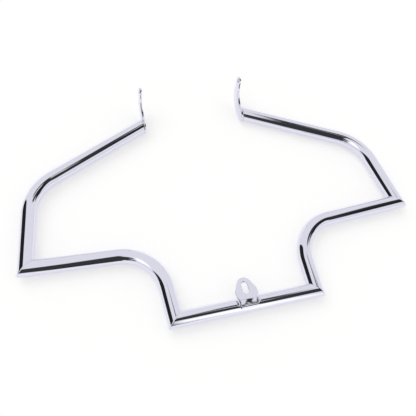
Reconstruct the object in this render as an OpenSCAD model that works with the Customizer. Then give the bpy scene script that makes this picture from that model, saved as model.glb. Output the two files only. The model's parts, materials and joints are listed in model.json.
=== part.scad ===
// Crash bars for a motorcycle: one welded frame of round steel tube, chrome plated.
// The frame lies flat. X runs across it, Y runs from the centre tube towards the upper
// brackets, and Z points up. It is symmetric about the plane X = 0.

/* [Tube] */
// Outside diameter of every tube
tube_od = 31.75; // [28:0.25:38]
// Wall thickness of every tube
tube_wall = 2.5; // [1.5:0.1:4]
// How much thinner the wall of a bend is drawn, on its outer face and on its inner face
bend_thinning = 0.1; // [0.1:0.05:0.4]
// Width of the weld metal in each ground mitre joint
mitre_weld_w = 3; // [2:0.5:5]
// Width of the weld metal between an arm tube and its bracket
end_weld_w = 2.5; // [1.5:0.5:5]

/* [Centre tube and shoulders] */
// Distance between the two lower corners, along the tube's axis
centre_len = 298; // [250:1:360]
// Length from a lower corner to the corner point of the shoulder bend
neck_len = 148.5; // [130:0.5:200]
// Outward lean of the neck, in degrees
neck_lean = 2; // [0:0.5:8]
// Length from the corner point of the shoulder bend to the outer corner
shoulder_len = 259.5; // [200:0.5:320]
// Slope of the shoulder towards the arms, in degrees
shoulder_slope = 3.2; // [0:0.1:10]
// Radius of the shoulder bend at the tube's axis
shoulder_bend_r = 89; // [60:1:100]

/* [Arms] */
// Length from an outer corner to the corner point of the arm bend
side_len = 176; // [150:1:240]
// Inward lean of the arm's outer stretch, in degrees
side_lean = 8; // [0:0.5:14]
// Slope of the arm's inner stretch, measured from X, in degrees
arm_slope = 26.1; // [16:0.1:36]
// Radius of the arm bend at the tube's axis
arm_bend_r = 105; // [70:1:130]
// Clear distance across the machine between the outer faces of the upper brackets
arm_gap = 243; // [200:1:300]

/* [Upper brackets] */
// Thickness of the bracket plate
tab_t = 5; // [4:0.5:8]
// Distance from the tube's axis to the back edge of the strap
tab_reach = 60; // [54:1:80]
// Height of the bolt hole above the tube's axis
tab_rise = 62; // [56:1:80]
// Radius of the strap's rounded tip, which is half of its width there
tab_tip_r = 9.5; // [8:0.5:12]
// Radius of the strap's heel, its outer curve
tab_heel_r = 45; // [36:1:50]
// Radius of the strap's throat, its inner curve
tab_throat_r = 38.5; // [30:0.5:39]
// Diameter of the bolt hole
tab_bolt_d = 10.5; // [8.5:0.5:12]

/* [Centre bracket] */
// Thickness of the lug plate
lug_t = 6; // [4:0.5:8]
// Width of the foot that lies on the tube
foot_w = 36; // [30:1:38]
// Length of the foot, along Y
foot_len = 9.5; // [7:0.5:14]
// How far the foot reaches in front of the tube's axis
foot_front = 4; // [2:0.5:6]
// Angle by which the lug is bent down from its foot, in degrees
lug_drop = 7; // [2:1:15]
// Inside radius of that bend
lug_bend_r = 2; // [1:0.5:6]
// Length of the lug from the bend to its rounded top
lug_len = 47; // [44:0.5:60]
// Radius of the lug's rounded top
lug_top_r = 15; // [13:0.5:20]
// Radius of the lug's wide lower part
lug_wide_r = 23; // [21:0.5:24]
// Width of the slot
slot_w = 12; // [9:0.5:15]
// Length of the slot from end to end
slot_len = 26; // [20:0.5:28]
// Distance from the bend to the middle of the slot
slot_place = 24; // [21:0.5:26]
// Radius of the weld beads round the foot
bead_r = 3.4; // [2:0.1:4]

/* [Hidden] */
$fn = 96;

chrome = [0.80, 0.81, 0.84];
weld_grey = [0.66, 0.66, 0.69];
tube_r = tube_od / 2;
// Half of the size of the blocks that cut the tubes at their joints
cut_reach = 3 * tube_od;
// How far each end of a tube's bend runs into the straights, in degrees
bend_spare = 0.5;
// How much longer the lug's bend is drawn before it is trimmed, in degrees
lug_spare = 4;

// Heading of each straight stretch of the right-hand side, in degrees from X
neck_heading = 90 - neck_lean;
side_heading = 90 + side_lean;
arm_heading = 180 - arm_slope;
shoulder_turn = neck_heading - shoulder_slope;
arm_turn = arm_heading - side_heading;
outer_turn = side_heading - shoulder_slope;

// Corner points of the right-hand tube axis, with the centre tube's axis at Y = 0
function step_along(start, heading, dist) = start + dist * [cos(heading), sin(heading)];
lower_corner = [centre_len / 2, 0];
shoulder_corner = step_along(lower_corner, neck_heading, neck_len);
outer_corner = step_along(shoulder_corner, shoulder_slope, shoulder_len);
arm_corner = step_along(outer_corner, side_heading, side_len);
end_x = arm_gap / 2;
arm_len = (arm_corner[0] - end_x) / cos(arm_slope);
arm_end = step_along(arm_corner, arm_heading, arm_len);

// Distance from a bend's corner point to the start of its arc
shoulder_tangent = shoulder_bend_r * tan(shoulder_turn / 2);
arm_tangent = arm_bend_r * tan(arm_turn / 2);

// Direction across each mitre joint, halfway between the headings of its two tubes
lower_mitre = neck_heading / 2;
outer_mitre = (shoulder_slope + side_heading) / 2;

// The origin is below the middle of the frame
front_y = -tube_r;
back_y = arm_end[1] + tab_reach;
middle_y = (front_y + back_y) / 2;

// The upper bracket's plate covers the slanted end of the arm tube
pad_half = tube_r / cos(arm_slope);
tip_place = tab_reach - tab_tip_r;
throat_edge = tab_reach - 2 * tab_tip_r;
// The throat starts this far under the top of the tube
throat_dip = 0.5;
throat_height = tube_r - throat_dip + tab_throat_r;

// Places on the centre bracket
crown_z = tube_od;
foot_back = foot_len - foot_front;
wide_place = sqrt(lug_wide_r * lug_wide_r - foot_w * foot_w / 4);
top_place = lug_len - lug_top_r;
side_taper = asin((lug_wide_r - lug_top_r) / (top_place - wide_place));
// How far a weld bead bites past the foot's edge before it is trimmed to the foot
bead_bite = 0.6;
bead_offset = bead_r - bead_bite;

// Puts a piece that is drawn with the centre tube's axis at Y = 0 in the frame's own place
module placed() {
    translate([0, -middle_y, 0]) children();
}

module right_side() {
    placed() children();
}

module left_side() {
    placed() mirror([1, 0, 0]) children();
}

// Block across a joint, between two distances from it along a heading
module block_across(point, heading, near, width) {
    translate([point[0], point[1], 0])
        rotate([0, 0, heading])
            translate([near, -cut_reach, -cut_reach]) cube([width, 2 * cut_reach, 2 * cut_reach]);
}

// Cuts that end a tube a given distance before or after a joint
module cut_ahead(point, heading, gap) {
    block_across(point, heading, gap, cut_reach);
}

module cut_behind(point, heading, gap) {
    block_across(point, heading, gap - cut_reach, cut_reach);
}

// Section of every tube, with its wall made thinner by a value on each side
module tube_section(thinner = 0) {
    difference() {
        circle(r = tube_r - thinner);
        circle(r = tube_r - tube_wall + thinner);
    }
}

// Straight tube that starts at the origin and runs along X
module straight_tube(dist) {
    rotate([0, 90, 0]) linear_extrude(dist) tube_section();
}

// Straight tube along a heading, lying on the ground
module laid_tube(start, heading, dist) {
    translate([start[0], start[1], tube_r]) rotate([0, 0, heading]) straight_tube(dist);
}

// Tube that runs along X up to a bend, turns to the left and runs on. The bend's centre is
// at the origin. Both ends of the bend run a little way into the walls of the straights.
module bent_tube(first_len, bend_r, turn, last_len) {
    translate([-first_len, -bend_r, 0]) straight_tube(first_len);
    rotate([0, 0, -90 - bend_spare])
        rotate_extrude(angle = turn + 2 * bend_spare)
            translate([bend_r, 0]) tube_section(bend_thinning);
    rotate([0, 0, turn]) translate([0, -bend_r, 0]) straight_tube(last_len);
}

module centre_tube() {
    run = centre_len + 2 * tube_od;
    color(chrome) placed()
        difference() {
            laid_tube([-run / 2, 0], 0, run);
            cut_ahead(lower_corner, lower_mitre, -mitre_weld_w / 2);
            mirror([1, 0, 0]) cut_ahead(lower_corner, lower_mitre, -mitre_weld_w / 2);
        }
}

// One bent tube from the lower mitre joint to the outer mitre joint. It turns to the right.
module shoulder_tube() {
    straight = neck_len - shoulder_tangent;
    bend_start = step_along(lower_corner, neck_heading, straight);
    color(chrome)
        difference() {
            translate([bend_start[0], bend_start[1], tube_r])
                rotate([0, 0, neck_heading])
                    mirror([0, 1, 0])
                        translate([0, shoulder_bend_r, 0])
                            bent_tube(straight + tube_od, shoulder_bend_r, shoulder_turn,
                                shoulder_len - shoulder_tangent + tube_od);
            cut_behind(lower_corner, lower_mitre, mitre_weld_w / 2);
            cut_ahead(outer_corner, outer_mitre, -mitre_weld_w / 2);
        }
}

// One bent tube from the outer mitre joint to the weld at the upper bracket
module arm_tube() {
    straight = side_len - arm_tangent;
    bend_start = step_along(outer_corner, side_heading, straight);
    color(chrome)
        difference() {
            translate([bend_start[0], bend_start[1], tube_r])
                rotate([0, 0, side_heading])
                    translate([0, arm_bend_r, 0])
                        bent_tube(straight + tube_od, arm_bend_r, arm_turn, arm_len - arm_tangent + tube_od);
            cut_behind(outer_corner, outer_mitre, mitre_weld_w / 2);
            cut_behind(arm_end, 0, end_weld_w);
        }
}

// Half of a mitre joint's weld ring. The joint is at the origin, and X runs across it.
module weld_half(turn) {
    half = mitre_weld_w / 2;
    intersection() {
        rotate([0, 0, -turn / 2]) translate([-tube_od, 0, 0]) straight_tube(2 * tube_od);
        translate([-half, -cut_reach, -cut_reach]) cube([half, 2 * cut_reach, 2 * cut_reach]);
    }
}

// Ring of weld metal between two mitred tubes, ground flush with both. Its second half
// mirrors the first, so that the halves meet face to face.
module mitre_weld(point, turn, mitre) {
    color(weld_grey)
        translate([point[0], point[1], tube_r])
            rotate([0, 0, mitre]) {
                weld_half(turn);
                mirror([1, 0, 0]) weld_half(turn);
            }
}

// Ring of weld metal between an arm tube and its bracket
module end_weld() {
    color(weld_grey)
        intersection() {
            laid_tube(step_along(arm_end, arm_heading, -tube_od), arm_heading, 2 * tube_od);
            block_across(arm_end, 0, 0, end_weld_w);
        }
}

// Outline of the upper bracket. The tube's axis is at the origin, and the second
// direction is up. A pad closes the tube, and the strap sweeps back and up to the bolt.
module tab_outline() {
    pad_shift = pad_half - tube_r;
    heel_place = tab_reach - tab_heel_r;
    heel_height = tab_heel_r - tube_r;
    for (side = [-1, 1])
        translate([side * pad_shift, 0]) circle(r = tube_r);
    translate([-pad_shift, -tube_r]) square([2 * pad_shift, tube_od]);
    difference() {
        union() {
            translate([0, -tube_r]) square([heel_place, tube_od]);
            translate([heel_place, heel_height])
                intersection() {
                    circle(r = tab_heel_r);
                    translate([0, -tab_heel_r]) square(tab_heel_r);
                }
            translate([heel_place, heel_height]) square([tab_heel_r, tab_rise - heel_height]);
        }
        translate([throat_edge - tab_throat_r, throat_height]) circle(r = tab_throat_r);
        translate([-tab_reach, throat_height]) square([tab_reach + throat_edge, tab_rise]);
    }
    translate([tip_place, tab_rise]) circle(r = tab_tip_r);
}

module upper_bracket() {
    color(chrome)
        translate([end_x - tab_t, arm_end[1], tube_r])
            rotate([90, 0, 90])
                difference() {
                    linear_extrude(tab_t) tab_outline();
                    translate([tip_place, tab_rise, -1])
                        cylinder(h = tab_t + 2, d = tab_bolt_d);
                }
}

// Outline of the lug, which starts at the bend of the centre bracket
module lug_outline() {
    wide_x = lug_wide_r * cos(side_taper);
    wide_y = wide_place + lug_wide_r * sin(side_taper);
    top_x = lug_top_r * cos(side_taper);
    top_y = top_place + lug_top_r * sin(side_taper);
    intersection() {
        union() {
            translate([0, wide_place]) circle(r = lug_wide_r);
            translate([0, top_place]) circle(r = lug_top_r);
            polygon([[-wide_x, wide_y], [wide_x, wide_y], [top_x, top_y], [-top_x, top_y]]);
        }
        translate([-lug_wide_r, 0]) square([2 * lug_wide_r, lug_len + 1]);
    }
}

module slot_outline() {
    reach = (slot_len - slot_w) / 2;
    translate([-slot_w / 2, -reach]) square([slot_w, 2 * reach]);
    for (side = [-1, 1])
        translate([0, side * reach]) circle(d = slot_w);
}

module foot() {
    translate([-foot_w / 2, -foot_front, crown_z]) cube([foot_w, foot_len, lug_t]);
}

// Plate lug: a flat foot on the crown of the tube, a bend, and the slotted lug. The bend is
// trimmed square where the lug begins.
module centre_bracket() {
    color(chrome) placed() {
        foot();
        translate([0, foot_back, crown_z - lug_bend_r]) mirror([0, 0, 1]) {
            intersection() {
                rotate([90, 0, 90]) rotate([0, 0, -90]) translate([0, 0, -foot_w / 2])
                    rotate_extrude(angle = lug_drop + lug_spare)
                        translate([lug_bend_r, 0]) square([lug_t, foot_w]);
                rotate([lug_drop, 0, 0])
                    translate([-foot_w, -2 * lug_t - lug_bend_r, -2 * lug_t - lug_bend_r])
                        cube([2 * foot_w, 2 * lug_t + lug_bend_r, 4 * lug_t + 2 * lug_bend_r]);
            }
            rotate([lug_drop, 0, 0]) translate([0, 0, -lug_bend_r - lug_t])
                difference() {
                    linear_extrude(lug_t) lug_outline();
                    translate([0, slot_place, -1]) linear_extrude(lug_t + 2) slot_outline();
                }
        }
    }
}

// The centre tube's outside, for trimming what lies on it
module tube_space() {
    translate([-centre_len / 2, 0, tube_r]) rotate([0, 90, 0]) cylinder(h = centre_len, r = tube_r);
}

// Weld bead over the crown of the tube, along one side edge of the foot
module side_bead(side) {
    bead_ring = tube_r + bead_bite;
    back_turn = asin(foot_back / bead_ring);
    front_turn = asin(foot_front / bead_ring);
    color(weld_grey) placed()
        difference() {
            translate([side * (foot_w / 2 + bead_offset), 0, tube_r])
                rotate([0, 90, 0])
                    rotate([0, 0, 180 - back_turn])
                        rotate_extrude(angle = front_turn + back_turn)
                            translate([bead_ring, 0]) circle(r = bead_r);
            tube_space();
            foot();
        }
}

// Weld bead along the front edge of the foot
module front_bead() {
    color(weld_grey) placed()
        difference() {
            translate([-foot_w / 2, -foot_front - bead_offset, crown_z])
                rotate([0, 90, 0]) cylinder(h = foot_w, r = bead_r);
            tube_space();
            foot();
        }
}

centre_tube();
left_side() shoulder_tube();  // left_shoulder_tube
right_side() shoulder_tube();  // right_shoulder_tube
left_side() arm_tube();  // left_arm_tube
right_side() arm_tube();  // right_arm_tube
left_side() upper_bracket();  // left_upper_bracket
right_side() upper_bracket();  // right_upper_bracket
centre_bracket();
left_side() mitre_weld(lower_corner, neck_heading, lower_mitre);  // left_lower_weld
right_side() mitre_weld(lower_corner, neck_heading, lower_mitre);  // right_lower_weld
left_side() mitre_weld(outer_corner, outer_turn, outer_mitre);  // left_outer_weld
right_side() mitre_weld(outer_corner, outer_turn, outer_mitre);  // right_outer_weld
left_side() end_weld();  // left_end_weld
right_side() end_weld();  // right_end_weld
side_bead(-1);  // foot_left_weld
side_bead(1);  // foot_right_weld
front_bead();  // foot_front_weld
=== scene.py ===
# %% [markdown]
# # Chrome crash bars for a motorcycle
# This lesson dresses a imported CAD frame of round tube. The real guard is steel tube that is
# bent, mitred and welded, then polished and chrome plated. The CAD model already has every
# piece in its true place, but chrome shows every facet of a curve. So the tubes, the mitre
# welds and the plates are modelled again here with finer curves. The five weld beads, at
# the arm ends and round the lug's foot, stay as the CAD has them and only get a finish.
# Then come a floor, a studio for the chrome to mirror, a lamp and a camera.

# %% Load the frame
import json
import math
import bpy
import bmesh
from mathutils import Matrix, Vector

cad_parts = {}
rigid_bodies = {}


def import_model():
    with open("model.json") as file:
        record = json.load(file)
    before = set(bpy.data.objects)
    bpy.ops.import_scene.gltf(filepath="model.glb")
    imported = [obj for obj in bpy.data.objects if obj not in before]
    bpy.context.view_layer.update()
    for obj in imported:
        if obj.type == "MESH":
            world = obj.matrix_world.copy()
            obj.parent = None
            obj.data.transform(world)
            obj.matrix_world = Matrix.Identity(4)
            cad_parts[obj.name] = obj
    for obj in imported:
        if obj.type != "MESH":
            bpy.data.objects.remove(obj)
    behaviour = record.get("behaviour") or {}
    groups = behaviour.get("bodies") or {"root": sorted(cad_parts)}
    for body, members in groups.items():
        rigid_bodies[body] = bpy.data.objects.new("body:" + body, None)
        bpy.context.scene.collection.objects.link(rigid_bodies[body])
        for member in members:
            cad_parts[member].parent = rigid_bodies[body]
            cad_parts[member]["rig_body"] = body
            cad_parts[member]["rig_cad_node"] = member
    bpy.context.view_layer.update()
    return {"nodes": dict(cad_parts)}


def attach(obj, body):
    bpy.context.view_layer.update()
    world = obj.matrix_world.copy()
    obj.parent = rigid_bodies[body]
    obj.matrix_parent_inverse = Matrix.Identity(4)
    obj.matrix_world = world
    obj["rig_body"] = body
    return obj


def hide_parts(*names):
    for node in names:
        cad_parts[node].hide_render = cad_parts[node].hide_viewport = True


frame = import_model()
print("CAD nodes:", sorted(frame["nodes"]))

# %% [markdown]
# ## The guard's sizes
# Every size is in metres and repeats a value of the part's source, so that a new piece lies
# exactly where its CAD node lies. A heading is the way in which a tube runs over the
# ground, as an angle that starts at the X axis and grows towards the Y axis.

# %% Sizes
TUBE_R = 0.03175 / 2
WALL = 0.0025
MITRE_HALF = 0.0015
END_WELD = 0.0025
CENTRE_HALF = 0.298 / 2
NECK_LENGTH = 0.1485
SHOULDER_LENGTH = 0.2595
SIDE_LENGTH = 0.176
NECK_HEADING = math.radians(88)
SHOULDER_HEADING = math.radians(3.2)
SIDE_HEADING = math.radians(98)
ARM_HEADING = math.radians(180 - 26.1)
SHOULDER_BEND_R = 0.089
ARM_BEND_R = 0.105
TAB_REACH = 0.060
ARM_GAP = 0.243
print("tube diameter", 2 * TUBE_R, "wall", WALL)

# %% [markdown]
# ## Corner points
# A maker marks the bends out on the shop floor, from corner to corner, and so does this
# step. The corner of a bend is where its two straights would meet. Only the right-hand side
# is worked out, because the left-hand side is its mirror image. At the end all points move
# so that the guard's middle, between its front and its bracket tips, lies at the origin.

# %% Corner points
def direction(heading):
    """Unit vector along a heading."""
    return Vector((math.cos(heading), math.sin(heading), 0))


def along(start, heading, dist):
    """Point at a distance from another one, along a heading on the ground plane."""
    return start + direction(heading) * dist


lower_corner = Vector((CENTRE_HALF, 0, TUBE_R))
shoulder_corner = along(lower_corner, NECK_HEADING, NECK_LENGTH)
outer_corner = along(shoulder_corner, SHOULDER_HEADING, SHOULDER_LENGTH)
arm_corner = along(outer_corner, SIDE_HEADING, SIDE_LENGTH)
arm_length = (arm_corner.x - ARM_GAP / 2) / -math.cos(ARM_HEADING)
arm_end = along(arm_corner, ARM_HEADING, arm_length)
middle_y = (arm_end.y + TAB_REACH - TUBE_R) / 2
for corner in (lower_corner, shoulder_corner, outer_corner, arm_corner, arm_end):
    corner.y -= middle_y
    print("corner", [round(v, 4) for v in corner])

# %% [markdown]
# ## Working by hand, in code
# Blender's operators act on whatever is selected, so each step starts by clearing the
# selection. These small helpers do what a hand does at the screen: pick one piece, and in
# edit mode pick the edges that lie in one plane.

# %% Picking
PLANE_REACH = 1e-5


def clear_selection():
    """Leave edit mode if it is on, and select nothing."""
    if bpy.context.mode != "OBJECT":
        bpy.ops.object.mode_set(mode="OBJECT")
    bpy.ops.object.select_all(action="DESELECT")


def pick(piece):
    """Make one piece the only selected and active one."""
    clear_selection()
    piece.select_set(True)
    bpy.context.view_layer.objects.active = piece


def pick_ring(point, normal):
    """In edit mode, select the edges that lie in a plane."""
    mesh = bmesh.from_edit_mesh(bpy.context.edit_object.data)
    bpy.ops.mesh.select_all(action="DESELECT")
    near = {v for v in mesh.verts if abs((v.co - point).dot(normal)) < PLANE_REACH}
    for edge in mesh.edges:
        edge.select_set(edge.verts[0] in near and edge.verts[1] in near)
    mesh.select_flush_mode()
    bmesh.update_edit_mesh(bpy.context.edit_object.data)


def report(piece):
    """Print how many faces a finished piece has and the box it fills."""
    corners = [v.co for v in piece.data.vertices]
    low = [round(min(c[i] for c in corners), 4) for i in range(3)]
    high = [round(max(c[i] for c in corners), 4) for i in range(3)]
    print(piece.name, "faces", len(piece.data.polygons), "box", low, high)


print("edges within", PLANE_REACH, "m of a plane count as lying in it")

# %% [markdown]
# ## Drawing and sawing a tube
# A tube starts as an open circle across its heading. Extruding it makes the skin, a Solidify
# modifier gives the skin its wall, inwards, and a bisect is the saw that takes an end off
# and closes the cut. The wall comes before the saw, so that each sawn end shows a ring of
# steel round an open bore, as the real tube does.

# %% Tube tools
RING_POINTS = 128


def open_ring(name, centre, heading):
    """A circle across a heading: the start of a tube. Leaves edit mode on, all selected."""
    clear_selection()
    bpy.ops.mesh.primitive_circle_add(
        vertices=RING_POINTS, radius=TUBE_R, fill_type="NOTHING",
        location=centre, rotation=(0, math.pi / 2, heading))
    piece = bpy.context.active_object
    piece.name = name
    piece.data.name = name
    bpy.ops.object.transform_apply(location=True, rotation=True, scale=True)
    bpy.ops.object.mode_set(mode="EDIT")
    bpy.ops.mesh.select_mode(type="EDGE")
    bpy.ops.mesh.select_all(action="SELECT")
    return piece


def pull(vector):
    """Extrude what is selected along a vector."""
    bpy.ops.mesh.extrude_region_move(TRANSFORM_OT_translate={"value": tuple(vector)})


def cut(point, normal, keep_front):
    """Cut the whole mesh at a plane, drop one side and close the cut."""
    bpy.ops.mesh.select_all(action="SELECT")
    bpy.ops.mesh.bisect(plane_co=tuple(point), plane_no=tuple(normal), use_fill=True,
                        clear_inner=keep_front, clear_outer=not keep_front)


def close_wall(piece):
    """Give an open tube its wall, inwards, and leave it closed."""
    bpy.ops.mesh.select_all(action="SELECT")
    bpy.ops.mesh.normals_make_consistent(inside=False)
    bpy.ops.object.mode_set(mode="OBJECT")
    wall = piece.modifiers.new("wall", "SOLIDIFY")
    wall.thickness = WALL
    wall.offset = -1
    wall.use_even_offset = True
    bpy.ops.object.modifier_apply(modifier=wall.name)
    bpy.ops.object.mode_set(mode="EDIT")


print("points round a tube:", RING_POINTS)

# %% [markdown]
# ## Smooth shading and mirror images
# The bands in chrome run smoothly over a curve and stop dead at an edge. Shading by angle
# gives both: faces that meet at a small angle are shaded as one curve, and a sawn edge
# stays crisp. The left-hand pieces are mirrored copies, each with a mesh of its own. A
# mirror turns the faces inside out, so their outward side is worked out again.

# %% Shading and mirroring
SMOOTH_ANGLE = math.radians(30)
MERGE_REACH = 1e-6


def smooth(piece):
    """Smooth shading that keeps the sharper edges. Merges doubles, faces point outwards."""
    pick(piece)
    bpy.ops.object.mode_set(mode="EDIT")
    bpy.ops.mesh.select_all(action="SELECT")
    bpy.ops.mesh.remove_doubles(threshold=MERGE_REACH)
    bpy.ops.mesh.normals_make_consistent(inside=False)
    bpy.ops.object.mode_set(mode="OBJECT")
    bpy.ops.object.shade_smooth_by_angle(angle=SMOOTH_ANGLE)


def mirrored(piece, name):
    """A copy with its own mesh on the other side of the machine."""
    pick(piece)
    bpy.ops.object.duplicate(linked=False)
    copy = bpy.context.active_object
    copy.name = name
    copy.data.name = name
    copy.scale = (-1, 1, 1)
    bpy.ops.object.transform_apply(location=True, rotation=True, scale=True)
    smooth(copy)
    return copy


print("edges sharper than", round(math.degrees(SMOOTH_ANGLE)), "degrees stay crisp")

# %% [markdown]
# ## The bent tubes
# A bender pulls a straight tube round a former, so the real tube is straight, curved and
# straight again with one diameter throughout. The same thing in Blender is a circle that
# is extruded, spun about the former's centre and extruded again. A curve with a bevel
# would be quicker, but it leaves no control over the ends.

# %% Bent tube
BEND_STEP = 2


def bent_tube(name, start, heading, first, bend_r, turn, last):
    """A tube with one bend. A positive turn goes left. Leaves edit mode on."""
    piece = open_ring(name, start, heading)
    pull(direction(heading) * first)
    bend_start = along(start, heading, first)
    side = heading + math.copysign(math.pi / 2, turn)
    centre = along(bend_start, side, bend_r)
    steps = round(abs(math.degrees(turn)) / BEND_STEP)
    # Spin counts its angle clockwise as seen from the tip of the axis.
    bpy.ops.mesh.spin(steps=steps, angle=-turn, center=tuple(centre), axis=(0, 0, 1))
    end_heading = heading + turn
    end = along(centre, side + math.pi + turn, bend_r)
    pull(direction(end_heading) * last)
    close_wall(piece)
    print(name, "ends at", [round(v, 4) for v in along(end, end_heading, last)])
    return piece


print("a bend has one ring for every", BEND_STEP, "degrees")

# %% [markdown]
# ## Bends and mitres
# A bend uses up some of each straight: its tangent length, from the corner point to where
# the curve starts. A mitre plane halves the angle between two tubes. Every tube is drawn
# one diameter too long at a mitre, because a cut needs metal on both sides of its plane.

# %% Bends and mitres
SPARE = 2 * TUBE_R
shoulder_turn = SHOULDER_HEADING - NECK_HEADING
shoulder_tangent = SHOULDER_BEND_R * math.tan(abs(shoulder_turn) / 2)
arm_turn = ARM_HEADING - SIDE_HEADING
arm_tangent = ARM_BEND_R * math.tan(arm_turn / 2)
lower_mitre = direction(NECK_HEADING / 2)
outer_mitre = direction((SHOULDER_HEADING + SIDE_HEADING) / 2)
print("tangent lengths", round(shoulder_tangent, 4), round(arm_tangent, 4))

# %% [markdown]
# ## The shoulder tubes
# A shoulder tube leaves the centre tube at the lower mitre, bends once and runs out to the
# outer mitre. Both ends are sawn. The cuts stop short of the mitre planes by half the
# width of the weld, which leaves room for the weld metal.

# %% Shoulder tubes
right_shoulder = bent_tube(
    "right_shoulder", along(lower_corner, NECK_HEADING, -SPARE), NECK_HEADING,
    NECK_LENGTH - shoulder_tangent + SPARE, SHOULDER_BEND_R, shoulder_turn,
    SHOULDER_LENGTH - shoulder_tangent + SPARE)
cut(lower_corner + lower_mitre * MITRE_HALF, lower_mitre, keep_front=True)
cut(outer_corner - outer_mitre * MITRE_HALF, outer_mitre, keep_front=False)
smooth(right_shoulder)
left_shoulder = mirrored(right_shoulder, "left_shoulder")
report(right_shoulder)
report(left_shoulder)

# %% [markdown]
# ## The arm tubes
# An arm tube starts at the outer mitre, bends once and comes back in to its bracket. Its
# inner end is sawn square to the X axis, because the bracket plate that closes it stands
# that way, and it stops short of the plate by the width of the end weld.

# %% Arm tubes
right_arm = bent_tube(
    "right_arm", along(outer_corner, SIDE_HEADING, -SPARE), SIDE_HEADING,
    SIDE_LENGTH - arm_tangent + SPARE, ARM_BEND_R, arm_turn, arm_length - arm_tangent + SPARE)
cut(outer_corner + outer_mitre * MITRE_HALF, outer_mitre, keep_front=True)
cut(arm_end + Vector((END_WELD, 0, 0)), Vector((1, 0, 0)), keep_front=True)
smooth(right_arm)
left_arm = mirrored(right_arm, "left_arm")
report(right_arm)
report(left_arm)

# %% [markdown]
# ## The centre tube
# The centre tube is the only straight one. It lies across the machine between the two lower
# mitres, and it carries the lug. One extrusion draws it, and the saw cuts each end.

# %% Centre tube
centre_start = Vector((-CENTRE_HALF - SPARE, lower_corner.y, TUBE_R))
centre_bar = open_ring("centre_bar", centre_start, 0)
pull(Vector((2 * CENTRE_HALF + 2 * SPARE, 0, 0)))
close_wall(centre_bar)
cut(lower_corner - lower_mitre * MITRE_HALF, lower_mitre, keep_front=False)
mirror_corner = Vector((-lower_corner.x, lower_corner.y, TUBE_R))
mirror_mitre = Vector((-lower_mitre.x, lower_mitre.y, 0))
cut(mirror_corner - mirror_mitre * MITRE_HALF, mirror_mitre, keep_front=False)
smooth(centre_bar)
report(centre_bar)

# %% [markdown]
# ## Tying the tubes to the frame
# Each new tube takes the place of its CAD node and rides on a body. Nothing on this guard moves, so
# every piece rides on the root.

# %% Tie the tubes to the frame
TUBE_PIECES = {
    "centre_tube": centre_bar,
    "left_shoulder_tube": left_shoulder, "right_shoulder_tube": right_shoulder,
    "left_arm_tube": left_arm, "right_arm_tube": right_arm,
}
for node, piece in TUBE_PIECES.items():
    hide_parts(node)
    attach(piece, "root")
print("tubes tied:", len(TUBE_PIECES))

# %% [markdown]
# ## The mitre welds
# Each mitre joint is welded all round, ground flush and polished before plating, so it
# shows as a soft ridge and not as a bead. The joint's outline is an ellipse across the
# mitre. Both tubes are pulled out of that ellipse, the ridge gets a round bevel, which is
# what the polishing belt does to it, and all is trimmed to the width of the weld metal.

# %% Mitre weld
RIDGE_WIDTH = 0.0012
RIDGE_SEGMENTS = 4
RING_MERGE_REACH = 1e-7


def mitre_ring(name, corner, heading_in, heading_out):
    """Weld metal between two tubes that meet at a corner, with a rounded ridge."""
    mitre_heading = (heading_in + heading_out) / 2
    mitre = direction(mitre_heading)
    half_turn = (heading_out - heading_in) / 2
    piece = open_ring(name, corner, mitre_heading)
    across = Vector((-mitre.y, mitre.x, 0))
    mesh = bmesh.from_edit_mesh(piece.data)
    for v in mesh.verts:
        v.co += across * (v.co - corner).dot(across) * (1 / math.cos(half_turn) - 1)
    bmesh.update_edit_mesh(piece.data)
    pull(direction(heading_out) * SPARE)
    pick_ring(corner, mitre)
    pull(direction(heading_in) * -SPARE)
    bpy.ops.mesh.select_all(action="SELECT")
    bpy.ops.mesh.remove_doubles(threshold=RING_MERGE_REACH)
    pick_ring(corner, mitre)
    bpy.ops.mesh.bevel(offset=RIDGE_WIDTH, offset_type="OFFSET", segments=RIDGE_SEGMENTS,
                       affect="EDGES")
    close_wall(piece)
    cut(corner + mitre * MITRE_HALF, mitre, keep_front=False)
    cut(corner - mitre * MITRE_HALF, mitre, keep_front=True)
    smooth(piece)
    report(piece)
    return piece


right_lower_ring = mitre_ring("right_lower_ring", lower_corner, 0, NECK_HEADING)
left_lower_ring = mirrored(right_lower_ring, "left_lower_ring")
right_outer_ring = mitre_ring("right_outer_ring", outer_corner, SHOULDER_HEADING, SIDE_HEADING)
left_outer_ring = mirrored(right_outer_ring, "left_outer_ring")

# %% [markdown]
# ## The plates
# The hooked straps and the centre lug are cut from plate and their edges are broken by
# hand before plating. Chrome makes such a rounded edge a thin bright line. The outline
# is the CAD's own, so a copy of the CAD node is merged into one skin, its flat faces are
# joined, and a bevel modifier rounds every sharp edge.

# %% Plates with rounded edges
STRAP_EDGE = 0.0008
LUG_EDGE = 0.0006
EDGE_SEGMENTS = 3
FLAT_ANGLE = math.radians(0.5)
SHARP_ANGLE = math.radians(50)


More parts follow.
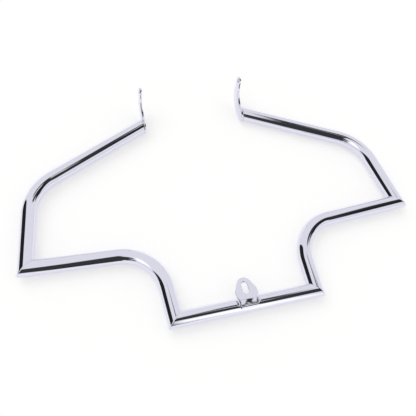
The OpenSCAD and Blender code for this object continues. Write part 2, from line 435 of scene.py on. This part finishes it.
def rounded_plate(name, node, width):
    """A plate with the outline of a CAD node, and with its sharp edges rounded."""
    pick(frame["nodes"][node])
    bpy.ops.object.duplicate(linked=False)
    piece = bpy.context.active_object
    piece.parent = None
    piece.name = name
    piece.data.name = name
    # The marks of a CAD node come along with the copy, which isn't one.
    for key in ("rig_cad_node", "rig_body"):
        if key in piece:
            del piece[key]
    bpy.ops.object.mode_set(mode="EDIT")
    bpy.ops.mesh.select_all(action="SELECT")
    bpy.ops.mesh.remove_doubles(threshold=MERGE_REACH)
    bpy.ops.mesh.dissolve_limited(angle_limit=FLAT_ANGLE)
    bpy.ops.object.mode_set(mode="OBJECT")
    edge = piece.modifiers.new("broken_edge", "BEVEL")
    edge.width = width
    edge.segments = EDGE_SEGMENTS
    edge.limit_method = "ANGLE"
    edge.angle_limit = SHARP_ANGLE
    edge.harden_normals = False
    bpy.ops.object.modifier_apply(modifier=edge.name)
    smooth(piece)
    report(piece)
    return piece


right_strap = rounded_plate("right_strap", "right_upper_bracket", STRAP_EDGE)
left_strap = rounded_plate("left_strap", "left_upper_bracket", STRAP_EDGE)
centre_lug = rounded_plate("centre_lug", "centre_bracket", LUG_EDGE)

# %% [markdown]
# ## Tying the welds and plates to the frame
# The mitre welds and the plates are tied in the same way as the tubes. Each kind gets a chrome of
# its own later, when the pieces are plated, because a plater's finish differs between tube, plate
# and weld.

# %% Tie the welds and plates to the frame
RINGS = {
    "right_lower_weld": right_lower_ring, "left_lower_weld": left_lower_ring,
    "right_outer_weld": right_outer_ring, "left_outer_weld": left_outer_ring,
}
PLATES = {
    "right_upper_bracket": right_strap, "left_upper_bracket": left_strap,
    "centre_bracket": centre_lug,
}
for pieces, slot in ((RINGS, "weld_chrome"), (PLATES, "bracket_chrome")):
    for node, piece in pieces.items():
        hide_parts(node)
        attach(piece, "root")
print("welds tied:", len(RINGS), "plates tied:", len(PLATES))

# %% [markdown]
# ## Chrome
# Chrome is a mirror, so it is fully metallic with very low roughness and takes its look
# from what stands round it. The plate on real tube isn't perfect: the polished steel
# below it waves a little, which bends the reflections, and fine polishing lines and a few
# dull spots break them. One node group makes the waves and the dull spots, as two noises
# of different size at the piece's own place, so every chrome below can share it.

# %% Chrome surface group
WAVE_DETAIL = 1.0
GRAIN_DETAIL = 3.0
DULL_FROM = 0.45
DULL_TO = 0.75
DULL_ROUGHNESS = 0.05


def math_node(nodes, operation):
    """A Math node that does one sum."""
    node = nodes.new("ShaderNodeMath")
    node.operation = operation
    return node


def chrome_group():
    """Noise in two sizes: a height for the waves and a roughness for the dull spots."""
    group = bpy.data.node_groups.new("plated_surface", "ShaderNodeTree")
    for name in ("Wave Size", "Grain Size", "Roughness"):
        group.interface.new_socket(name=name, in_out="INPUT", socket_type="NodeSocketFloat")
    for name in ("Height", "Roughness"):
        group.interface.new_socket(name=name, in_out="OUTPUT", socket_type="NodeSocketFloat")
    nodes, links = group.nodes, group.links
    entry = nodes.new("NodeGroupInput")
    leave = nodes.new("NodeGroupOutput")
    place = nodes.new("ShaderNodeTexCoord")
    wave = nodes.new("ShaderNodeTexNoise")
    wave.inputs["Detail"].default_value = WAVE_DETAIL
    grain = nodes.new("ShaderNodeTexNoise")
    grain.inputs["Detail"].default_value = GRAIN_DETAIL
    links.new(place.outputs["Object"], wave.inputs["Vector"])
    links.new(place.outputs["Object"], grain.inputs["Vector"])
    links.new(entry.outputs["Wave Size"], wave.inputs["Scale"])
    links.new(entry.outputs["Grain Size"], grain.inputs["Scale"])
    spread = nodes.new("ShaderNodeMapRange")
    spread.inputs["From Min"].default_value = DULL_FROM
    spread.inputs["From Max"].default_value = DULL_TO
    spread.inputs["To Min"].default_value = 0.0
    spread.inputs["To Max"].default_value = DULL_ROUGHNESS
    links.new(grain.outputs["Fac"], spread.inputs["Value"])
    total = math_node(nodes, "ADD")
    links.new(spread.outputs["Result"], total.inputs[0])
    links.new(entry.outputs["Roughness"], total.inputs[1])
    links.new(wave.outputs["Fac"], leave.inputs["Height"])
    links.new(total.outputs["Value"], leave.inputs["Roughness"])
    return group


plated_surface = chrome_group()
print("shared group:", plated_surface.name, "with", len(plated_surface.nodes), "nodes")

# %% [markdown]
# ## Four kinds of chrome
# The tube is polished most. The plates and the ground welds are a little duller, and the
# welds wave more, so each kind gets its own roughness, waves and tint on top of the shared
# group. Wave and grain sizes are the scales of their noises, where more is finer. A wave's
# height is in metres: under a tenth of a millimetre on tube and plates, more on the ground
# welds, and most on the beads, which nobody grinds.

# %% Chrome materials
def chrome(name, colour, roughness, wave_size, grain_size, wave_height):
    """A plated metal with its own tint, roughness and waves."""
    material = bpy.data.materials.new(name)
    material.use_nodes = True
    nodes, links = material.node_tree.nodes, material.node_tree.links
    shader = nodes["Principled BSDF"]
    shader.inputs["Base Color"].default_value = (*colour, 1)
    shader.inputs["Metallic"].default_value = 1.0
    surface = nodes.new("ShaderNodeGroup")
    surface.node_tree = plated_surface
    surface.inputs["Wave Size"].default_value = wave_size
    surface.inputs["Grain Size"].default_value = grain_size
    surface.inputs["Roughness"].default_value = roughness
    bump = nodes.new("ShaderNodeBump")
    bump.inputs["Strength"].default_value = 1.0
    bump.inputs["Distance"].default_value = wave_height
    links.new(surface.outputs["Height"], bump.inputs["Height"])
    links.new(bump.outputs["Normal"], shader.inputs["Normal"])
    links.new(surface.outputs["Roughness"], shader.inputs["Roughness"])
    print("chrome", name, "roughness from", roughness)
    return material


tube_chrome = chrome("tube_chrome", colour=(0.80, 0.81, 0.84), roughness=0.02,
                     wave_size=28, grain_size=900, wave_height=0.00008)
plate_chrome = chrome("plate_chrome", colour=(0.79, 0.80, 0.83), roughness=0.05,
                      wave_size=45, grain_size=1400, wave_height=0.00006)
weld_chrome = chrome("weld_chrome", colour=(0.76, 0.77, 0.80), roughness=0.04,
                     wave_size=260, grain_size=1400, wave_height=0.00025)
bead_chrome = chrome("bead_chrome", colour=(0.76, 0.77, 0.80), roughness=0.05,
                     wave_size=240, grain_size=1400, wave_height=0.0007)

# %% [markdown]
# ## Plating the pieces
# The whole guard goes into one bath, so every piece gets a chrome. The five beads are still
# CAD nodes: a finish is laid on them, and their shape is left alone. The front edge of the
# foot looks as smooth as the tube below it, so its bead shares the tube's chrome.

# %% Plate the pieces
def finish_with(piece, material):
    """Make a material the only one of a piece."""
    piece.data.materials.clear()
    piece.data.materials.append(material)


for piece in TUBE_PIECES.values():
    finish_with(piece, tube_chrome)
for piece in PLATES.values():
    finish_with(piece, plate_chrome)
for piece in RINGS.values():
    finish_with(piece, weld_chrome)
ROUGH_BEADS = ("left_end_weld", "right_end_weld", "foot_left_weld", "foot_right_weld")
for node in ROUGH_BEADS:
    finish_with(frame["nodes"][node], bead_chrome)
finish_with(frame["nodes"]["foot_front_weld"], tube_chrome)
print("plated:", len(TUBE_PIECES) + len(PLATES) + len(RINGS) + len(ROUGH_BEADS) + 1)

# %% [markdown]
# ## The floor
# The guard lies on a big sheet of white paper. The paper takes the guard's soft shadow, and
# it glows a little on top of the light that falls on it. The glow depends on who looks: the
# camera gets a neutral one that lifts the lit paper to white, and mirrors and glass get a
# lavender one, which the chrome shows in its lower half. It goes through Light Path, so
# that no extra light falls on the guard to make the background pale.

# %% Floor
FLOOR_SIZE = 14
SHEET_COLOUR = (0.86, 0.855, 0.85)
SHEET_ROUGHNESS = 0.9
MIRROR_GLOW = (0.33, 0.32, 0.41)
CAMERA_GLOW = (0.37, 0.365, 0.36)


def colour_mix(nodes):
    """A Mix node for colours."""
    node = nodes.new("ShaderNodeMix")
    node.data_type = "RGBA"
    return node


clear_selection()
bpy.ops.mesh.primitive_plane_add(size=FLOOR_SIZE, location=(0, 0, 0))
floor = bpy.context.active_object
floor.name = "floor"
sheet = bpy.data.materials.new("white_sheet")
sheet.use_nodes = True
nodes, links = sheet.node_tree.nodes, sheet.node_tree.links
shader = nodes["Principled BSDF"]
shader.inputs["Base Color"].default_value = (*SHEET_COLOUR, 1)
shader.inputs["Roughness"].default_value = SHEET_ROUGHNESS
shader.inputs["Specular IOR Level"].default_value = 0.0
rays = nodes.new("ShaderNodeLightPath")
glow = colour_mix(nodes)
glow.inputs["A"].default_value = (0, 0, 0, 1)
glow.inputs["B"].default_value = (*MIRROR_GLOW, 1)
mirror_or_glass = math_node(nodes, "MAXIMUM")
links.new(rays.outputs["Is Glossy Ray"], mirror_or_glass.inputs[0])
links.new(rays.outputs["Is Transmission Ray"], mirror_or_glass.inputs[1])
links.new(mirror_or_glass.outputs["Value"], glow.inputs["Factor"])
lit = colour_mix(nodes)
lit.inputs["B"].default_value = (*CAMERA_GLOW, 1)
links.new(glow.outputs["Result"], lit.inputs["A"])
links.new(rays.outputs["Is Camera Ray"], lit.inputs["Factor"])
links.new(lit.outputs["Result"], shader.inputs["Emission Color"])
shader.inputs["Emission Strength"].default_value = 1.0
floor.data.materials.append(sheet)
print("floor:", FLOOR_SIZE, "m square, paper", SHEET_COLOUR)

# %% [markdown]
# ## The studio that the chrome shows
# A mirror finish is a picture of its room, so the room is built with care, although the
# camera never sees it. It is a pale lavender tent with cards in it. Each card is a
# soft-edged rectangle on a flat chart of the sky, whose middle is straight up and whose rim
# is the horizon. Real panels round the guard would do it too, but they would also throw
# shadows and light on it. One node group turns a place on the chart into a card's mask.

# %% Card group
def card_group():
    """Mask of a turned rectangle on the chart, 1 inside and 0 outside, with a soft edge."""
    group = bpy.data.node_groups.new("studio_card", "ShaderNodeTree")
    for name in ("Across", "Along", "Turn", "Half Width", "Half Length", "Edge"):
        group.interface.new_socket(name=name, in_out="INPUT", socket_type="NodeSocketFloat")
    group.interface.new_socket(name="Chart", in_out="INPUT", socket_type="NodeSocketVector")
    group.interface.new_socket(name="Mask", in_out="OUTPUT", socket_type="NodeSocketFloat")
    nodes, links = group.nodes, group.links
    entry = nodes.new("NodeGroupInput")
    leave = nodes.new("NodeGroupOutput")
    middle = nodes.new("ShaderNodeCombineXYZ")
    links.new(entry.outputs["Across"], middle.inputs["X"])
    links.new(entry.outputs["Along"], middle.inputs["Y"])
    turn = nodes.new("ShaderNodeVectorRotate")
    turn.rotation_type = "Z_AXIS"
    links.new(entry.outputs["Chart"], turn.inputs["Vector"])
    links.new(middle.outputs["Vector"], turn.inputs["Center"])
    links.new(entry.outputs["Turn"], turn.inputs["Angle"])
    away = nodes.new("ShaderNodeVectorMath")
    away.operation = "SUBTRACT"
    links.new(turn.outputs["Vector"], away.inputs[0])
    links.new(middle.outputs["Vector"], away.inputs[1])
    axes = nodes.new("ShaderNodeSeparateXYZ")
    links.new(away.outputs["Vector"], axes.inputs["Vector"])
    masks = []
    for axis, half in (("X", "Half Width"), ("Y", "Half Length")):
        size = math_node(nodes, "ABSOLUTE")
        links.new(axes.outputs[axis], size.inputs[0])
        inside = math_node(nodes, "SUBTRACT")
        links.new(entry.outputs[half], inside.inputs[0])
        links.new(size.outputs["Value"], inside.inputs[1])
        ramp = math_node(nodes, "DIVIDE")
        links.new(inside.outputs["Value"], ramp.inputs[0])
        links.new(entry.outputs["Edge"], ramp.inputs[1])
        # The edge is soft by half its width on either side of the card's outline.
        soft = nodes.new("ShaderNodeMapRange")
        soft.interpolation_type = "SMOOTHSTEP"
        soft.inputs["From Min"].default_value = -0.5
        soft.inputs["From Max"].default_value = 0.5
        links.new(ramp.outputs["Value"], soft.inputs["Value"])
        masks.append(soft)
    both = math_node(nodes, "MULTIPLY")
    links.new(masks[0].outputs["Result"], both.inputs[0])
    links.new(masks[1].outputs["Result"], both.inputs[1])
    links.new(both.outputs["Value"], leave.inputs["Mask"])
    return group


studio_card = card_group()
print("shared group:", studio_card.name, "with", len(studio_card.nodes), "nodes")

# %% [markdown]
# ## The sky chart
# The world gives every ray's direction. Dividing its X and Y by one more than its Z lays the
# whole upper sky out flat in a circle, with little distortion near the middle. A card is
# then placed by two numbers, and it stays where it is whichever tube mirrors it.

# %% Sky chart
world = bpy.data.worlds.new("studio")
bpy.context.scene.world = world
world.use_nodes = True
nodes, links = world.node_tree.nodes, world.node_tree.links
background = nodes["Background"]
place = nodes.new("ShaderNodeTexCoord")
axes = nodes.new("ShaderNodeSeparateXYZ")
links.new(place.outputs["Generated"], axes.inputs["Vector"])
lift = math_node(nodes, "ADD")
lift.inputs[1].default_value = 1.0
links.new(axes.outputs["Z"], lift.inputs[0])
chart = nodes.new("ShaderNodeCombineXYZ")
for axis in ("X", "Y"):
    share = math_node(nodes, "DIVIDE")
    links.new(axes.outputs[axis], share.inputs[0])
    links.new(lift.outputs["Value"], share.inputs[1])
    links.new(share.outputs["Value"], chart.inputs[axis])
print("world:", world.name)

# %% [markdown]
# ## The cards
# Two white panels stand in front and on the left. Nine dark or black cards are gaps in the
# tent and things that stand in it, such as the hood of a lens. Four more cards have the
# tent's own tone and cover parts of earlier cards again, so the order of the list counts.
# Fourteen of them weren't placed by eye: a search moved them until such a room came as near as it
# could to the colours of the tubes in a photograph. The lens hood was added later and wasn't part of
# the search.

# %% Cards
WALL_LIGHT = (0.86, 0.85, 0.94)
WHITE = (1.25, 1.25, 1.27)
BLACK = (0.018, 0.018, 0.020)
DARK = (0.040, 0.040, 0.044)
# name, across, along, turn in degrees, half width, half length, edge, colour
CARDS = (
    ("front_panel", 0.212, -0.692, 25.5, 0.078, 0.335, 0.03, WHITE),
    ("left_panel", -0.219, -0.221, 9.3, 0.262, 0.117, 0.05, WHITE),
    ("ceiling_patch", -0.066, -0.082, -5.6, 0.066, 0.150, 0.03, WALL_LIGHT),
    ("left_gap", -0.685, 0.316, 49.0, 0.308, 0.392, 0.03, BLACK),
    ("front_gap", -0.055, -0.642, 4.4, 0.141, 0.421, 0.03, DARK),
    ("camera_gap", 0.130, -0.126, -26.1, 0.133, 0.163, 0.03, DARK),
    ("right_gap", 0.307, -0.146, -13.9, 0.101, 0.280, 0.03, DARK),
    ("ceiling_seam", 0.172, 0.464, -6.2, 0.024, 0.553, 0.012, DARK),
    ("rear_cloth", 0.022, 0.323, -85.7, 0.173, 0.191, 0.03, WALL_LIGHT),
    ("front_stand", -0.154, -0.606, -51.8, 0.067, 0.203, 0.03, DARK),
    ("side_door", 0.485, -0.111, -74.5, 0.128, 0.217, 0.03, BLACK),
    ("front_left_gap", -0.131, -0.714, 40.6, 0.095, 0.344, 0.03, DARK),
    ("rear_panel", 0.089, 0.526, -13.6, 0.112, 0.455, 0.03, WALL_LIGHT),
    ("ceiling_fold", 0.002, 0.210, 28.8, 0.010, 0.326, 0.03, WALL_LIGHT),
    ("lens_hood", 0.135, 0.095, -20, 0.050, 0.065, 0.03, DARK),
)
print("studio cards:", len(CARDS))

# %% [markdown]
# ## Hanging the cards
# The tent's tone comes first, and each card is then painted over what is there already,
# where its mask says so. A chain of Mix nodes does that, one for each card.

# %% Hang the cards
colour = nodes.new("ShaderNodeRGB")
colour.outputs["Color"].default_value = (*WALL_LIGHT, 1)
painted = colour.outputs["Color"]
for name, across, length_at, turn, half_width, half_length, edge, tone in CARDS:
    card = nodes.new("ShaderNodeGroup")
    card.node_tree = studio_card
    card.name = name
    for socket, value in (("Across", across), ("Along", length_at), ("Turn", -math.radians(turn)),
                          ("Half Width", half_width), ("Half Length", half_length),
                          ("Edge", edge)):
        card.inputs[socket].default_value = value
    links.new(chart.outputs["Vector"], card.inputs["Chart"])
    paint = colour_mix(nodes)
    paint.clamp_result = False
    links.new(card.outputs["Mask"], paint.inputs["Factor"])
    links.new(painted, paint.inputs["A"])
    paint.inputs["B"].default_value = (*tone, 1)
    painted = paint.outputs["Result"]
print("cards hung; nodes in the world:", len(nodes))

# %% [markdown]
# ## Who sees what
# Three kinds of ray ask the world for a colour. Mirror rays get the tent with its cards.
# Rays that light the paper and the guard get one even grey, so the cards throw no coloured
# light. Camera rays get plain white, which is the background.

# %% Rays
FILL_LIGHT = 0.62
rays = nodes.new("ShaderNodeLightPath")
choose = colour_mix(nodes)
choose.inputs["A"].default_value = (FILL_LIGHT, FILL_LIGHT, FILL_LIGHT, 1)
links.new(rays.outputs["Is Glossy Ray"], choose.inputs["Factor"])
links.new(painted, choose.inputs["B"])
backdrop = colour_mix(nodes)
backdrop.inputs["B"].default_value = (1, 1, 1, 1)
links.new(choose.outputs["Result"], backdrop.inputs["A"])
links.new(rays.outputs["Is Camera Ray"], backdrop.inputs["Factor"])
links.new(backdrop.outputs["Result"], background.inputs["Color"])
print("fill light:", FILL_LIGHT)

# %% [markdown]
# ## The lamp
# A big soft lamp stands behind the guard on the left, so each tube drops a thin shadow on
# its near and right-hand side. It is a sun lamp with a wide angle, because a lamp that far
# off lights the whole guard evenly. The chrome doesn't show it, as a photographer keeps a
# lamp out of the mirror's view.

# %% Lamp
LAMP_STRENGTH = 0.55
LAMP_SPREAD = math.radians(50)
LAMP_COLOUR = (0.96, 0.98, 1.0)
TO_LAMP = Vector((-0.376, 0.521, 0.766))
lamp_data = bpy.data.lights.new("soft_lamp", "SUN")
lamp_data.energy = LAMP_STRENGTH
lamp_data.angle = LAMP_SPREAD
lamp_data.color = LAMP_COLOUR
lamp = bpy.data.objects.new("soft_lamp", lamp_data)
bpy.context.scene.collection.objects.link(lamp)
lamp.rotation_euler = TO_LAMP.to_track_quat("Z", "Y").to_euler()
lamp.visible_glossy = False
print("lamp strength", LAMP_STRENGTH, "height in degrees", round(math.degrees(math.asin(TO_LAMP.z))))

# %% [markdown]
# ## The camera
# The camera was found by matching the tubes' outlines to the photograph, so its place and
# angles are measured and not chosen. It looks down steeply and is rolled a little, so its
# axes are built one by one: back along the view, level across it, and then both turned by
# the roll. The shift of half a pixel makes pixel centres of render and photograph agree.

# %% Camera
CAMERA_PLACE = Vector((-0.274387, -0.515472, 0.992773))
AZIMUTH = math.radians(-27.28)
ELEVATION = math.radians(60.74)
ROLL = math.radians(14.708)
SENSOR_WIDTH = 36
LENS = 44.34
HALF_PIXEL = 0.0012
camera_data = bpy.data.cameras.new("camera")
camera = bpy.data.objects.new("camera", camera_data)
bpy.context.scene.collection.objects.link(camera)
camera_data.sensor_width = SENSOR_WIDTH
camera_data.lens = LENS
camera_data.shift_x = -HALF_PIXEL
camera_data.shift_y = HALF_PIXEL
back = Vector((math.sin(AZIMUTH) * math.cos(ELEVATION),
               -math.cos(AZIMUTH) * math.cos(ELEVATION), math.sin(ELEVATION)))
level = Vector((math.cos(AZIMUTH), math.sin(AZIMUTH), 0))
upward = back.cross(level)
camera_x = level * math.cos(ROLL) + upward * math.sin(ROLL)
camera_y = upward * math.cos(ROLL) - level * math.sin(ROLL)
turned = Matrix((camera_x, camera_y, back)).transposed().to_4x4()
camera.matrix_world = Matrix.Translation(CAMERA_PLACE) @ turned
bpy.context.scene.camera = camera
bpy.context.scene.view_settings.view_transform = "Standard"
print("camera at", [round(v, 3) for v in CAMERA_PLACE], "lens", LENS)
